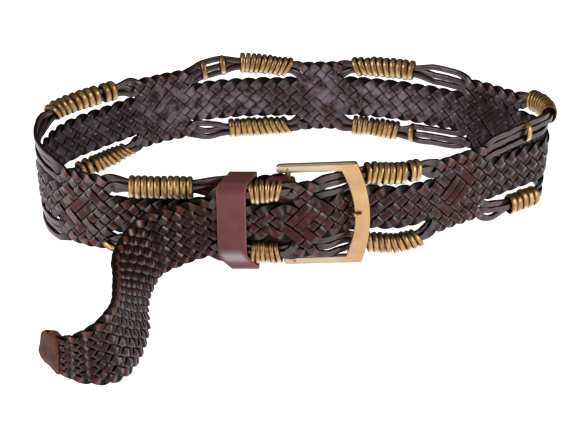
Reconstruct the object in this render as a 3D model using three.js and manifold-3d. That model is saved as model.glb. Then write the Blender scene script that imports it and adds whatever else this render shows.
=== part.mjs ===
// A woman's braided leather belt, buckled and standing on its lower edge in an oval loop.
// Millimetres, +Z up, the buckle side towards -Y. The origin is under the middle of the belt, on the floor.
import * as THREE from "three";
import { mergeVertices } from "three/addons/utils/BufferGeometryUtils.js";
import Module from "manifold-3d";

const wasm = await Module();
wasm.setup();

// The waist loop.
const loopWidth = 300;
const loopDepth = 150;
const beltHeight = 61;

// The braided strap.
const crossingWidth = 50;
const tailWidth = 40;
const tailEndWidth = 21;
const tailEndThickness = 2.7;
const braidThickness = 4.6;
const bundleWidth = 8.6;
const bundleThickness = 6;
const crossingRamp = 5;
const bandChamfer = { thickness: 0.3, width: 0.05 };
const strapStep = 8;

// The wire rings wound on the bundles.
const ringWire = 1.8;
const ringPitch = 3.6;
const ringValley = 0.55 * ringWire;
const ringSides = 7;

// The gap that pieces keep where they touch.
const fitGap = 0.3;
const ringGap = 0.42;
const layerGap = 0.48;
const layerStep = bundleThickness + ringWire + ringGap + layerGap + fitGap;

// The buckle.
const buckleHeight = 64;
const buckleReach = 43;
const buckleBow = 5.5;
const armDepth = 4.8;
const barWidth = 8.3;
const frameThickness = 3.4;
const frameBevel = 0.5;
const frameCorner = 2;
const armOverhang = 2.2;
const heelBarDiameter = 3.2;
const prongWidth = 4;
const prongThickness = 2.6;
const prongEyeWall = 1.4;
const prongRise = 2.6;
const foldLeather = 2;
const buckleTurn = THREE.MathUtils.degToRad(-3);
const buckleRoll = THREE.MathUtils.degToRad(-4);

// The keeper and the tip tab.
const keeperWidth = 15.5;
const keeperWall = 1.8;
const keeperHeight = 53.1;
const keeperGrip = 46.6;
const keeperPlace = 0.8075;
const keeperSkew = 5;
const tabLength = 15;
const tabWidth = 20;
const tabWall = 1.7;
const tabGrip = 8;

// The strap's middle line, from the buckle's heel bar round the waist to the tip of the tail.
// x is a share of loopWidth, y of loopDepth and rise of beltHeight. over is how far it has come out over the
// strap's start, a share of layerStep, and lean is in degrees, away from the outer face.
const route = [
  { x: 0.012, y: 0.0245, over: 0, rise: 0.525, lean: 0 },
  { x: -0.05, y: 0.016, over: 0, rise: 0.515, lean: 0 },
  { x: -0.12, y: 0.01, over: 0, rise: 0.5, lean: 0 },
  { x: -0.2, y: 0.01, over: 0, rise: 0.5, lean: 0 },
  { x: -0.3, y: 0.015, over: 0, rise: 0.5, lean: 0 },
  { x: -0.377, y: 0.053, over: 0, rise: 0.5, lean: 0 },
  { x: -0.443, y: 0.147, over: 0, rise: 0.5, lean: 0 },
  { x: -0.48, y: 0.313, over: 0, rise: 0.5, lean: 0 },
  { x: -0.46, y: 0.533, over: 0, rise: 0.5, lean: 0 },
  { x: -0.377, y: 0.707, over: 0, rise: 0.5, lean: 0 },
  { x: -0.28, y: 0.853, over: 0, rise: 0.5, lean: 0 },
  { x: -0.15, y: 0.953, over: 0, rise: 0.5, lean: 0 },
  { x: 0, y: 0.98, over: 0, rise: 0.5, lean: 0 },
  { x: 0.15, y: 0.98, over: 0, rise: 0.5, lean: 0 },
  { x: 0.3, y: 0.893, over: 0, rise: 0.5, lean: 0 },
  { x: 0.427, y: 0.76, over: 0, rise: 0.5, lean: 0 },
  { x: 0.503, y: 0.6, over: 0, rise: 0.5, lean: 0 },
  { x: 0.507, y: 0.46, over: 0, rise: 0.5, lean: 0 },
  { x: 0.427, y: 0.333, over: 0, rise: 0.5, lean: 0 },
  { x: 0.307, y: 0.173, over: 0, rise: 0.5, lean: 0 },
  { x: 0.207, y: 0.067, over: 0, rise: 0.5, lean: 0 },
  { x: 0.143, y: 0.044, over: 0, rise: 0.54, lean: 0 },
  { x: 0.11, y: 0.018, over: 0, rise: 0.545, lean: 0 },
  { x: 0.07, y: 0.004, over: 0.5, rise: 0.545, lean: 0 },
  { x: 0, y: 0.01, over: 1, rise: 0.525, lean: 0 },
  { x: -0.05, y: 0.014, over: 1, rise: 0.51, lean: 0 },
  { x: -0.12, y: 0.018, over: 1, rise: 0.497, lean: 0 },
  { x: -0.17, y: 0.015, over: 1, rise: 0.42, lean: 0 },
  { x: -0.207, y: 0.005, over: 1, rise: 0.37, lean: 4 },
  { x: -0.243, y: -0.025, over: 1, rise: 0.34, lean: 12 },
  { x: -0.266, y: -0.11, over: 1, rise: 0.32, lean: 20 },
  { x: -0.276, y: -0.24, over: 1, rise: 0.305, lean: 25 },
  { x: -0.267, y: -0.387, over: 1, rise: 0.31, lean: 24 },
  { x: -0.269, y: -0.54, over: 1, rise: 0.32, lean: 16 },
  { x: -0.283, y: -0.62, over: 1, rise: 0.325, lean: 12 },
  { x: -0.308, y: -0.67, over: 1, rise: 0.33, lean: 8 },
  { x: -0.34, y: -0.685, over: 1, rise: 0.33, lean: 6 },
  { x: -0.375, y: -0.65, over: 1, rise: 0.31, lean: 4 },
  { x: -0.4, y: -0.59, over: 1, rise: 0.29, lean: 2 },
];

// Where the braid is split into a middle braid and two wrapped bundles.
// Places along the route are shares of its length, and heights and widths are shares of beltHeight.
// middle is the middle braid's width. Each bundle's wrap runs between wrapFrom and wrapTo, at startHeight and
// endHeight from the middle line, and slant leans its rings. settle is where the bundles come back to the
// crossing's height before it, to pass inside the buckle.
const splits = [
  { name: "heel", from: 0.03, to: 0.107, middle: 0.36,
    top: { wrapFrom: 0.059, wrapTo: 0.0965, startHeight: 0.292, endHeight: 0.3, slant: 0 },
    bottom: { wrapFrom: 0.057, wrapTo: 0.089, startHeight: 0.292, endHeight: 0.3, slant: 0 },
  },
  { name: "left", from: 0.143, to: 0.278, middle: 0.44,
    top: { wrapFrom: 0.211, wrapTo: 0.264, startHeight: 0.4, endHeight: 0.36, slant: 0.05 },
    bottom: { wrapFrom: 0.231, wrapTo: 0.2725, startHeight: 0.39, endHeight: 0.35, slant: 0.1 },
  },
  { name: "back_left", from: 0.322, to: 0.394, middle: 0.44,
    top: { wrapFrom: 0.354, wrapTo: 0.3875, startHeight: 0.4, endHeight: 0.345, slant: 0.1 },
    bottom: { wrapFrom: 0.345, wrapTo: 0.3875, startHeight: 0.36, endHeight: 0.345, slant: 0 },
  },
  { name: "back_right", from: 0.424, to: 0.509, middle: 0.44,
    top: { wrapFrom: 0.4315, wrapTo: 0.473, startHeight: 0.345, endHeight: 0.37, slant: 0.1 },
    bottom: { wrapFrom: 0.4315, wrapTo: 0.464, startHeight: 0.345, endHeight: 0.36, slant: -0.15 },
  },
  { name: "right", from: 0.551, to: 0.643, middle: 0.44,
    top: { wrapFrom: 0.558, wrapTo: 0.584, startHeight: 0.38, endHeight: 0.4, slant: 0 },
    bottom: { wrapFrom: 0.596, wrapTo: 0.619, startHeight: 0.4, endHeight: 0.4, slant: 0 },
  },
  { name: "front", from: 0.683, to: 0.756, middle: 0.44,
    top: { wrapFrom: 0.693, wrapTo: 0.727, startHeight: 0.36, endHeight: 0.345, slant: 0 },
    bottom: { wrapFrom: 0.69, wrapTo: 0.7245, startHeight: 0.38, endHeight: 0.38, slant: -0.2 },
    settle: { at: 0.739, height: 0.32 },
  },
  { name: "keeper_side", from: 0.772, to: 0.815, middle: 0.36,
    top: { wrapFrom: 0.7785, wrapTo: 0.7965, startHeight: 0.33, endHeight: 0.31, slant: 0 },
    bottom: { wrapFrom: 0.7785, wrapTo: 0.7965, startHeight: 0.33, endHeight: 0.31, slant: 0 },
  },
];

// Loose rings that sit by themselves on a bundle. at is a share of the route's length.
const looseRings = [
  { split: "heel", side: "bottom", at: 0.051 },
  { split: "heel", side: "bottom", at: 0.0985 },
  { split: "back_left", side: "top", at: 0.329 },
  { split: "back_left", side: "top", at: 0.342 },
  { split: "back_right", side: "bottom", at: 0.474 },
  { split: "right", side: "top", at: 0.611 },
];

// A smooth value through rows of { at, value }, with the slope at each row taken from its neighbours.
function through(rows, at) {
  const last = rows.length - 1;
  if (at <= rows[0].at) return rows[0].value;
  if (at >= rows[last].at) return rows[last].value;
  let i = 0;
  while (rows[i + 1].at < at) i += 1;
  const slope = (k) => {
    const before = rows[Math.max(k - 1, 0)];
    const after = rows[Math.min(k + 1, last)];
    return (after.value - before.value) / (after.at - before.at);
  };
  const span = rows[i + 1].at - rows[i].at;
  const t = (at - rows[i].at) / span;
  const from = rows[i].value * (1 + 2 * t) * (1 - t) ** 2 + slope(i) * span * t * (1 - t) ** 2;
  const to = rows[i + 1].value * t * t * (3 - 2 * t) - slope(i + 1) * span * t * t * (1 - t);
  return from + to;
}

const middleLine = new THREE.CatmullRomCurve3(
  route.map((row) => {
    const y = row.y * loopDepth - row.over * layerStep;
    return new THREE.Vector3(row.x * loopWidth, y, row.rise * beltHeight);
  }),
  false,
  "centripetal",
);
middleLine.arcLengthDivisions = 1200;
const routeLength = middleLine.getLength();
const braidEnd = routeLength - tabLength + tabGrip;
const up = new THREE.Vector3(0, 0, 1);

function leanAt(share) {
  const place = middleLine.getUtoTmapping(share) * (route.length - 1);
  const row = Math.min(Math.floor(place), route.length - 2);
  const lean = THREE.MathUtils.lerp(route[row].lean, route[row + 1].lean, place - row);
  return THREE.MathUtils.degToRad(lean);
}

// A point on the belt: along its length, up across its width, and out from its middle surface.
function onBelt(along, across, out) {
  const share = THREE.MathUtils.clamp(along / routeLength, 0, 1);
  const heading = middleLine.getTangentAt(share).setZ(0).normalize();
  const outward = up.clone().cross(heading);
  const lean = leanAt(share);
  return middleLine
    .getPointAt(share)
    .addScaledVector(up, across * Math.cos(lean) + out * Math.sin(lean))
    .addScaledVector(outward, out * Math.cos(lean) - across * Math.sin(lean));
}

// Moves each vertex of a geometry by a function of its x, y and z.
function reshape(geometry, move) {
  const position = geometry.attributes.position;
  for (let i = 0; i < position.count; i += 1) {
    const p = move(position.getX(i), position.getY(i), position.getZ(i));
    position.setXYZ(i, p.x, p.y, p.z);
  }
  return geometry;
}

function solid(geometry) {
  const bare = geometry.clone();
  bare.deleteAttribute("normal");
  bare.deleteAttribute("uv");
  const merged = mergeVertices(bare, 1e-4);
  return new wasm.Manifold(
    new wasm.Mesh({
      numProp: 3,
      vertProperties: new Float32Array(merged.attributes.position.array),
      triVerts: new Uint32Array(merged.index.array),
    }),
  );
}

function geometryOf(body) {
  const mesh = body.getMesh();
  const geometry = new THREE.BufferGeometry();
  geometry.setAttribute("position", new THREE.BufferAttribute(mesh.vertProperties, 3));
  geometry.setIndex(new THREE.BufferAttribute(mesh.triVerts, 1));
  geometry.computeVertexNormals();
  return geometry;
}

// A flat band section with chamfered edges, half a unit each way, drawn with x outwards and y across.
function bandSection(chamferX, chamferY) {
  const shape = new THREE.Shape();
  shape.moveTo(-0.5, chamferY - 0.5);
  shape.lineTo(chamferX - 0.5, -0.5);
  shape.lineTo(0.5 - chamferX, -0.5);
  shape.lineTo(0.5, chamferY - 0.5);
  shape.lineTo(0.5, 0.5 - chamferY);
  shape.lineTo(0.5 - chamferX, 0.5);
  shape.lineTo(chamferX - 0.5, 0.5);
  shape.lineTo(-0.5, 0.5 - chamferY);
  shape.closePath();
  return shape;
}

// A bundle's section, half a unit each way, with a corner at its top.
function bundleSection() {
  const corners = [];
  for (let i = 0; i < ringSides; i += 1) {
    const angle = (i / ringSides) * 2 * Math.PI;
    corners.push(new THREE.Vector2(Math.sin(angle) / 2, Math.cos(angle) / 2));
  }
  return new THREE.Shape(corners);
}

// A bar of a section along the belt, its width, thickness and middle height given at each place.
function barOnBelt(from, to, section, sizeAt) {
  const steps = Math.max(2, Math.round((to - from) / strapStep));
  const bar = new THREE.ExtrudeGeometry(section, { depth: to - from, steps, bevelEnabled: false });
  return reshape(bar, (x, y, z) => {
    const size = sizeAt(from + z);
    return onBelt(from + z, size.height + y * size.width, x * size.thickness);
  });
}

// The keeper squeezes both layers of the strap that pass through it.
const keeperMiddle = middleLine.getPointAt(keeperPlace);
const keeperOnStart = middleLine.getPointAt(0).x - keeperMiddle.x;
const keeperOnTail = keeperPlace * routeLength;

function fullWidthAt(along) {
  const nearest = Math.min(Math.abs(along - keeperOnStart), Math.abs(along - keeperOnTail));
  const held = keeperWidth / 2 + keeperSkew;
  const free = THREE.MathUtils.smoothstep(nearest, held, held + keeperWall * 3);
  return THREE.MathUtils.lerp(keeperGrip, crossingWidth, free);
}

const bundles = splits.flatMap((split) =>
  ["top", "bottom"].map((side) => {
    const row = split[side];
    const sign = side === "top" ? 1 : -1;
    const from = split.from * routeLength;
    const to = split.to * routeLength;
    const wrapFrom = row.wrapFrom * routeLength;
    const wrapTo = row.wrapTo * routeLength;
    const start = Math.min(from, wrapFrom) - bundleWidth / 2;
    const end = Math.max(to, wrapTo) + bundleWidth / 2;
    const edge = (along) => (sign * (fullWidthAt(along) - bundleWidth)) / 2;
    const heights = [
      { at: start, value: edge(start) },
      { at: wrapFrom, value: sign * row.startHeight * beltHeight },
      { at: wrapTo, value: sign * row.endHeight * beltHeight },
      { at: end, value: edge(end) },
    ];
    if (split.settle) {
      const settled = { at: split.settle.at * routeLength, value: sign * split.settle.height * beltHeight };
      heights.splice(3, 0, settled);
    }
    const name = `${split.name}_${side}`;
    return { name, split: split.name, side, slant: row.slant, heights, wrapFrom, wrapTo };
  }),
);

// A bundle's height over the middle line, drawn in where the keeper squeezes the strap.
function bundleHeightAt(bundle, along) {
  const height = through(bundle.heights, along);
  const most = (fullWidthAt(along) - bundleWidth) / 2;
  const squeezed = fullWidthAt(along) < crossingWidth - fitGap;
  return squeezed ? THREE.MathUtils.clamp(height, -most, most) : height;
}

function braidWidthAt(along) {
  const ramp = crossingRamp;
  const full = fullWidthAt(along);
  let width = full;
  for (const split of splits) {
    const from = split.from * routeLength;
    const to = split.to * routeLength;
    const into = THREE.MathUtils.smoothstep(along, from - ramp, from + ramp);
    const outOf = THREE.MathUtils.smoothstep(along, to - ramp, to + ramp);
    width -= (full - split.middle * beltHeight) * (into - outOf);
  }
  const tailStart = splits[splits.length - 1].to * routeLength;
  const tail = THREE.MathUtils.smoothstep(along, tailStart - ramp, tailStart + ramp);
  const taper = THREE.MathUtils.smoothstep(along, braidEnd - tailWidth, braidEnd);
  width += (tailWidth - full) * tail;
  return width + (tailEndWidth - tailWidth) * taper;
}

function braidThicknessAt(along) {
  const taper = THREE.MathUtils.smoothstep(along, braidEnd - tailWidth, braidEnd);
  return THREE.MathUtils.lerp(braidThickness, tailEndThickness, taper);
}

// The heel bar's middle, where the strap starts and the buckle hangs.
const heelBar = new THREE.Vector3(0.005 * loopWidth, -heelBarDiameter / 3, buckleHeight / 2 + fitGap);
const buckleFrame = new THREE.Matrix4()
  .makeTranslation(heelBar)
  .multiply(new THREE.Matrix4().makeRotationY(buckleRoll))
  .multiply(new THREE.Matrix4().makeRotationZ(buckleTurn));

// The prong, from its eye behind the strap to its tip on the buckle's front bar.
const prongPath = new THREE.CatmullRomCurve3([
  new THREE.Vector3(heelBarDiameter / 2 + fitGap + 0.7 * prongEyeWall, 0.2 * prongRise, 0),
  new THREE.Vector3(0.25 * buckleReach, 0.85 * prongRise, 0),
  new THREE.Vector3(0.5 * buckleReach, prongRise, 0),
  new THREE.Vector3(0.65 * buckleReach, 0.25 * prongRise, 0),
  new THREE.Vector3(0.77 * buckleReach, -(frameThickness + prongThickness) / 2 - fitGap, 0),
  new THREE.Vector3(0.94 * buckleReach, -(frameThickness + prongThickness) / 2 - fitGap, 0),
]);

function prongBar(clearance) {
  const height = prongWidth / 2 + clearance;
  const depth = prongThickness / 2 + clearance;
  const section = new THREE.Shape([
    new THREE.Vector2(-height, -depth),
    new THREE.Vector2(height, -depth),
    new THREE.Vector2(height, depth),
    new THREE.Vector2(-height, depth),
  ]);
  return new THREE.ExtrudeGeometry(section, { steps: 12, extrudePath: prongPath });
}

function prong() {
  const eyeHole = heelBarDiameter / 2 + fitGap;
  const eye = new THREE.Shape();
  eye.absarc(0, 0, eyeHole + prongEyeWall, 0, 2 * Math.PI);
  const hole = new THREE.Path();
  hole.absarc(0, 0, eyeHole, 0, 2 * Math.PI, true);
  eye.holes.push(hole);
  const ring = new THREE.ExtrudeGeometry(eye, { depth: prongWidth, bevelEnabled: false, curveSegments: 12 });
  ring.translate(0, 0, -prongWidth / 2);
  const bore = new THREE.CylinderGeometry(eyeHole, eyeHole, 3 * prongWidth, 24).rotateX(Math.PI / 2);
  return geometryOf(solid(prongBar(0)).add(solid(ring)).subtract(solid(bore)));
}

// The start of the strap: its end folded round the heel bar, with a slot for the prong's eye.
function startFold() {
  const hole = heelBarDiameter / 2 + fitGap;
  const outside = hole + foldLeather;
  const flap = 2 * foldLeather;
  const side = new THREE.Shape();
  side.absarc(0, 0, outside, -Math.PI / 2, Math.PI / 2);
  side.lineTo(-flap, outside);
  side.lineTo(-flap, -foldLeather / 2);
  side.closePath();
  const bore = new THREE.Path();
  bore.absarc(0, 0, hole, 0, 2 * Math.PI, true);
  side.holes.push(bore);
  const fold = new THREE.ExtrudeGeometry(side, {
    depth: crossingWidth - 2 * foldLeather,
    bevelEnabled: false,
    curveSegments: 10,
  });
  fold.translate(0, 0, foldLeather - crossingWidth / 2);
  return fold.applyMatrix4(buckleFrame);
}

function prongSlot() {
  const length = 4 * foldLeather + heelBarDiameter;
  const slot = new THREE.BoxGeometry(length, 6 * foldLeather, prongWidth + 2 * fitGap);
  slot.translate(foldLeather, 0, 0);
  return slot.applyMatrix4(buckleFrame);
}

function braidedStrap() {
  const flat = bandSection(bandChamfer.thickness, bandChamfer.width);
  const round = bundleSection();
  const core = barOnBelt(0, braidEnd, flat, (along) => ({
    width: braidWidthAt(along),
    thickness: braidThicknessAt(along),
    height: 0,
  }));
  let strap = solid(core);
  for (const bundle of bundles) {
    const ends = bundle.heights;
    const bar = barOnBelt(ends[0].at, ends[ends.length - 1].at, round, (along) => ({
      width: bundleWidth,
      thickness: bundleThickness,
      height: bundleHeightAt(bundle, along),
    }));
    strap = strap.add(solid(bar));
  }
  strap = strap.add(solid(startFold()));
  strap = strap.subtract(solid(prongSlot()));
  strap = strap.subtract(solid(prongBar(fitGap).applyMatrix4(buckleFrame)));
  return geometryOf(strap);
}

// Rings of wire wound side by side on a bundle, as one ribbed sleeve.
function wrap(bundle, from, to) {
  const count = Math.max(1, Math.round((to - from) / ringPitch));
  const pitch = (to - from) / count;
  const inside = bundleWidth / 2 + ringGap;
  const profile = [];
  for (let i = 0; i < count; i += 2) profile.push(new THREE.Vector2(inside, i * pitch));
  profile.push(new THREE.Vector2(inside, to - from));
  for (let i = count; i > 0; i -= 1) {
    profile.push(new THREE.Vector2(inside + ringValley, i * pitch));
    profile.push(new THREE.Vector2(inside + ringWire, (i - 0.5) * pitch));
  }
  profile.push(new THREE.Vector2(inside + ringValley, 0));
  profile.push(profile[0].clone());
  const sleeve = new THREE.LatheGeometry(profile, ringSides);
  return reshape(sleeve, (x, y, z) => {
    const radius = Math.hypot(x, z);
    const flattened = (radius + (bundleThickness - bundleWidth) / 2) / radius;
    const along = from + y + bundle.slant * z;
    return onBelt(along, bundleHeightAt(bundle, along) + z, x * flattened);
  });
}

// The buckle's frame: two arms that hold the heel bar between them, and a bowed front bar.
function frame() {
  const half = buckleHeight / 2;
  const inner = half - armDepth;
  const end = -(heelBarDiameter / 2 + armOverhang);
  const corner = buckleReach - buckleBow;
  const turned = corner + frameCorner / 4;
  const outline = new THREE.Shape();
  outline.moveTo(end, -half);
  outline.lineTo(corner - frameCorner, -half);
  outline.quadraticCurveTo(corner, -half, turned, frameCorner - half);
  outline.quadraticCurveTo(buckleReach + buckleBow, 0, turned, half - frameCorner);
  outline.quadraticCurveTo(corner, half, corner - frameCorner, half);
  outline.lineTo(end, half);
  outline.absarc(end, half - armDepth / 2, armDepth / 2, Math.PI / 2, (3 * Math.PI) / 2, false);
  outline.lineTo(corner - barWidth, inner);
  outline.quadraticCurveTo(buckleReach + buckleBow - 0.94 * barWidth, 0, corner - barWidth, -inner);
  outline.lineTo(end, -inner);
  outline.absarc(end, armDepth / 2 - half, armDepth / 2, Math.PI / 2, (3 * Math.PI) / 2, false);
  const body = new THREE.ExtrudeGeometry(outline, {
    depth: frameThickness - 2 * frameBevel,
    bevelEnabled: true,
    bevelThickness: frameBevel,
    bevelSize: frameBevel,
    bevelOffset: -frameBevel,
    bevelSegments: 1,
    curveSegments: 7,
  });
  body.translate(0, 0, frameBevel - frameThickness / 2).rotateX(Math.PI / 2);
  const socket = heelBarDiameter / 2 + fitGap;
  const depth = buckleHeight - armDepth;
  const sockets = new THREE.CylinderGeometry(socket, socket, depth, 16).rotateX(Math.PI / 2);
  return geometryOf(solid(body).subtract(solid(sockets)));
}

function heelBarPin() {
  const length = buckleHeight - armDepth - 2 * fitGap;
  const radius = heelBarDiameter / 2;
  return new THREE.CylinderGeometry(radius, radius, length, 16).rotateX(Math.PI / 2);
}

// The keeper: a loop of smooth leather that hangs on the top edge of both layers of the strap.
function keeper() {
  const reach = keeperWidth / 2 + keeperSkew;
  const under = [-reach, 0, reach].map((step) => onBelt(keeperOnStart + step, 0, 0));
  const over = [-reach, 0, reach].map((step) => onBelt(keeperOnTail + step, 0, 0));
  const top = Math.max(...[...under, ...over].map((point) => point.z)) + keeperGrip / 2 + fitGap;
  const back = Math.max(...under.map((point) => point.y)) + bundleThickness / 2 + fitGap;
  const front = Math.min(...over.map((point) => point.y)) - bundleThickness / 2 - fitGap;
  const loop = (grow, corner) => {
    const low = top - keeperHeight - grow;
    const high = top + grow;
    const near = front - grow;
    const far = back + grow;
    const shape = new THREE.Shape();
    shape.moveTo(near + corner, low);
    shape.lineTo(far - corner, low);
    shape.absarc(far - corner, low + corner, corner, -Math.PI / 2, 0, false);
    shape.lineTo(far, high - corner);
    shape.absarc(far - corner, high - corner, corner, 0, Math.PI / 2, false);
    shape.lineTo(near + corner, high);
    shape.absarc(near + corner, high - corner, corner, Math.PI / 2, Math.PI, false);
    shape.lineTo(near, low + corner);
    shape.absarc(near + corner, low + corner, corner, Math.PI, 1.5 * Math.PI, false);
    return shape;
  };
  const outline = loop(keeperWall, keeperWall * 1.8);
  outline.holes.push(loop(0, keeperWall * 0.8));
  const ring = new THREE.ExtrudeGeometry(outline, {
    depth: keeperWidth,
    bevelEnabled: false,
    curveSegments: 5,
  });
  ring.rotateX(Math.PI / 2).rotateZ(Math.PI / 2).translate(keeperMiddle.x - keeperWidth / 2, 0, 0);
  return reshape(ring, (x, y, z) => {
    const depth = (y - front) / (back - front);
    return new THREE.Vector3(x + keeperSkew * depth, y, z);
  });
}

// The tip tab: a strip of leather folded round the end of the braid.
function tipTab() {
  const size = (growth, width) => (along) => ({
    width,
    thickness: braidThicknessAt(Math.min(along, braidEnd)) + 2 * growth,
    height: 0,
  });
  const start = routeLength - tabLength;
  const outside = barOnBelt(start, routeLength, bandSection(0.1, 0.05), size(fitGap + tabWall, tabWidth));
  const pocketEnd = braidEnd + 2 * fitGap;
  const pocket = barOnBelt(start - tabLength, pocketEnd, bandSection(0, 0), size(2 * fitGap, 2 * tailWidth));
  return geometryOf(solid(outside).subtract(solid(pocket)));
}

const leather = new THREE.MeshStandardMaterial({ color: 0x4a2824, roughness: 0.45 });
const keeperLeather = new THREE.MeshStandardMaterial({ color: 0x6b4540, roughness: 0.5 });
const ringBrass = new THREE.MeshStandardMaterial({ color: 0x8f7440, roughness: 0.45, metalness: 1 });
const buckleBrass = new THREE.MeshStandardMaterial({ color: 0xcaa468, roughness: 0.35, metalness: 1 });

const belt = new THREE.Group();

function addPiece(name, geometry, material, parent = belt) {
  const mesh = new THREE.Mesh(geometry, material);
  mesh.name = name;
  parent.add(mesh);
}

addPiece("braided_strap", braidedStrap(), leather);
for (const bundle of bundles) {
  addPiece(`wrap_${bundle.name}`, wrap(bundle, bundle.wrapFrom, bundle.wrapTo), ringBrass);
}
looseRings.forEach((ring, i) => {
  const bundle = bundles.find((b) => b.split === ring.split && b.side === ring.side);
  const middle = ring.at * routeLength;
  addPiece(`loose_ring_${i + 1}`, wrap(bundle, middle - ringPitch / 2, middle + ringPitch / 2), ringBrass);
});

addPiece("keeper", keeper(), keeperLeather);
addPiece("tip_tab", tipTab(), keeperLeather);

const buckle = new THREE.Group();
buckle.applyMatrix4(buckleFrame);
belt.add(buckle);
addPiece("buckle_frame", frame(), buckleBrass, buckle);
addPiece("heel_bar", heelBarPin(), buckleBrass, buckle);
addPiece("prong", prong(), buckleBrass, buckle);

const box = new THREE.Box3().setFromObject(belt);
const middle = box.getCenter(new THREE.Vector3());
belt.position.set(-middle.x, -middle.y, -box.min.z);

export default belt;
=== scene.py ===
import bisect
import math
import random

import bmesh
import bpy
from mathutils import Matrix, Vector


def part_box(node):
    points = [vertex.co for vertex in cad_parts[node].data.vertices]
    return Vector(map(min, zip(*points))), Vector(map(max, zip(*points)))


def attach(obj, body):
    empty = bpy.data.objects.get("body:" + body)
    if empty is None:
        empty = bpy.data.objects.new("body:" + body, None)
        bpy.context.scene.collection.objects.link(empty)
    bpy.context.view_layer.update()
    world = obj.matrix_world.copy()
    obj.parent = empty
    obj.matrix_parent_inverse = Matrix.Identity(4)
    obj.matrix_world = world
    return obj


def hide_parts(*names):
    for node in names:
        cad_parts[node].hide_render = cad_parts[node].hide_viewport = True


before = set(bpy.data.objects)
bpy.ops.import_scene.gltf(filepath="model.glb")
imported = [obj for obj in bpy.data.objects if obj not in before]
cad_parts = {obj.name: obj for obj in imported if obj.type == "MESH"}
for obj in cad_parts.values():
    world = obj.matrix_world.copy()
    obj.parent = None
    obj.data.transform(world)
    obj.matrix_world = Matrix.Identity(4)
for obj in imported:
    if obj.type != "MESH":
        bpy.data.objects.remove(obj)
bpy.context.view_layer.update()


# The strap's course. The real strap is one plaited strip that hangs on the buckle's heel bar, goes round the
# waist, comes back behind the buckle's front bar and through the keeper, and ends as a loose tail.
# x is a share of loop_width, y of loop_depth and rise of belt_height. over is how far the strap has come out
# over its own start, a share of layer_step, and lean is in degrees, away from the outer face.
loop_width = 0.300
loop_depth = 0.150
belt_height = 0.061
layer_step = 0.009
course = (
    # x, y, over, rise, lean
    (0.012, 0.0245, 0, 0.525, 0),
    (-0.05, 0.016, 0, 0.515, 0),
    (-0.12, 0.01, 0, 0.5, 0),
    (-0.2, 0.01, 0, 0.5, 0),
    (-0.3, 0.015, 0, 0.5, 0),
    (-0.377, 0.053, 0, 0.5, 0),
    (-0.443, 0.147, 0, 0.5, 0),
    (-0.48, 0.313, 0, 0.5, 0),
    (-0.46, 0.533, 0, 0.5, 0),
    (-0.377, 0.707, 0, 0.5, 0),
    (-0.28, 0.853, 0, 0.5, 0),
    (-0.15, 0.953, 0, 0.5, 0),
    (0, 0.98, 0, 0.5, 0),
    (0.15, 0.98, 0, 0.5, 0),
    (0.3, 0.893, 0, 0.5, 0),
    (0.427, 0.76, 0, 0.5, 0),
    (0.503, 0.6, 0, 0.5, 0),
    (0.507, 0.46, 0, 0.5, 0),
    (0.427, 0.333, 0, 0.5, 0),
    (0.307, 0.173, 0, 0.5, 0),
    (0.207, 0.067, 0, 0.5, 0),
    (0.143, 0.044, 0, 0.54, 0),
    (0.11, 0.018, 0, 0.545, 0),
    (0.07, 0.004, 0.5, 0.545, 0),
    (0, 0.01, 1, 0.525, 0),
    (-0.05, 0.014, 1, 0.51, 0),
    (-0.12, 0.018, 1, 0.497, 0),
    (-0.17, 0.015, 1, 0.42, 0),
    (-0.207, 0.005, 1, 0.37, 4),
    (-0.243, -0.025, 1, 0.34, 12),
    (-0.266, -0.11, 1, 0.32, 20),
    (-0.276, -0.24, 1, 0.305, 25),
    (-0.267, -0.387, 1, 0.31, 24),
    (-0.269, -0.54, 1, 0.32, 16),
    (-0.283, -0.62, 1, 0.325, 12),
    (-0.308, -0.67, 1, 0.33, 8),
    (-0.34, -0.685, 1, 0.33, 6),
    (-0.375, -0.65, 1, 0.31, 4),
    (-0.4, -0.59, 1, 0.29, 2),
)
heel_bar_diameter = 0.0032
buckle_height = 0.064
fit_gap = 0.0003
heel_bar_x = 0.005
heel_bar_on_course = Vector((heel_bar_x * loop_width, -heel_bar_diameter / 3, buckle_height / 2 + fit_gap))
heel_bar_low, heel_bar_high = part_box("heel_bar")
heel_bar_middle = (heel_bar_low + heel_bar_high) / 2
course_origin = heel_bar_middle - heel_bar_on_course


def smooth_curve(points, pieces_per_span):
    """Points along the centripetal Catmull-Rom curve through points, pieces_per_span for each span."""
    padded = [2 * points[0] - points[1], *points, 2 * points[-1] - points[-2]]
    curve = []
    for a, b, c, d in zip(padded, padded[1:], padded[2:], padded[3:]):
        ab, bc, cd = ((q - p).length ** 0.5 for p, q in ((a, b), (b, c), (c, d)))
        start_slope = ((b - a) / ab - (c - a) / (ab + bc) + (c - b) / bc) * bc
        end_slope = ((c - b) / bc - (d - b) / (bc + cd) + (d - c) / cd) * bc
        for piece in range(pieces_per_span):
            t = piece / pieces_per_span
            curve.append(
                b
                + start_slope * t
                + (-3 * b + 3 * c - 2 * start_slope - end_slope) * t * t
                + (2 * b - 2 * c + start_slope + end_slope) * t**3
            )
    curve.append(points[-1].copy())
    return curve


pieces_per_span = 60
middle_line = smooth_curve(
    [
        course_origin + Vector((x * loop_width, y * loop_depth - over * layer_step, rise * belt_height))
        for x, y, over, rise, lean in course
    ],
    pieces_per_span,
)
middle_at = [0.0]
for near, far in zip(middle_line, middle_line[1:]):
    middle_at.append(middle_at[-1] + (far - near).length)
strap_length = middle_at[-1]


def held(value, low, high):
    """A value kept between low and high."""
    return min(max(value, low), high)


def blend(start, end, share):
    """The value at a share of the way from start to end."""
    return start + (end - start) * share


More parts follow.
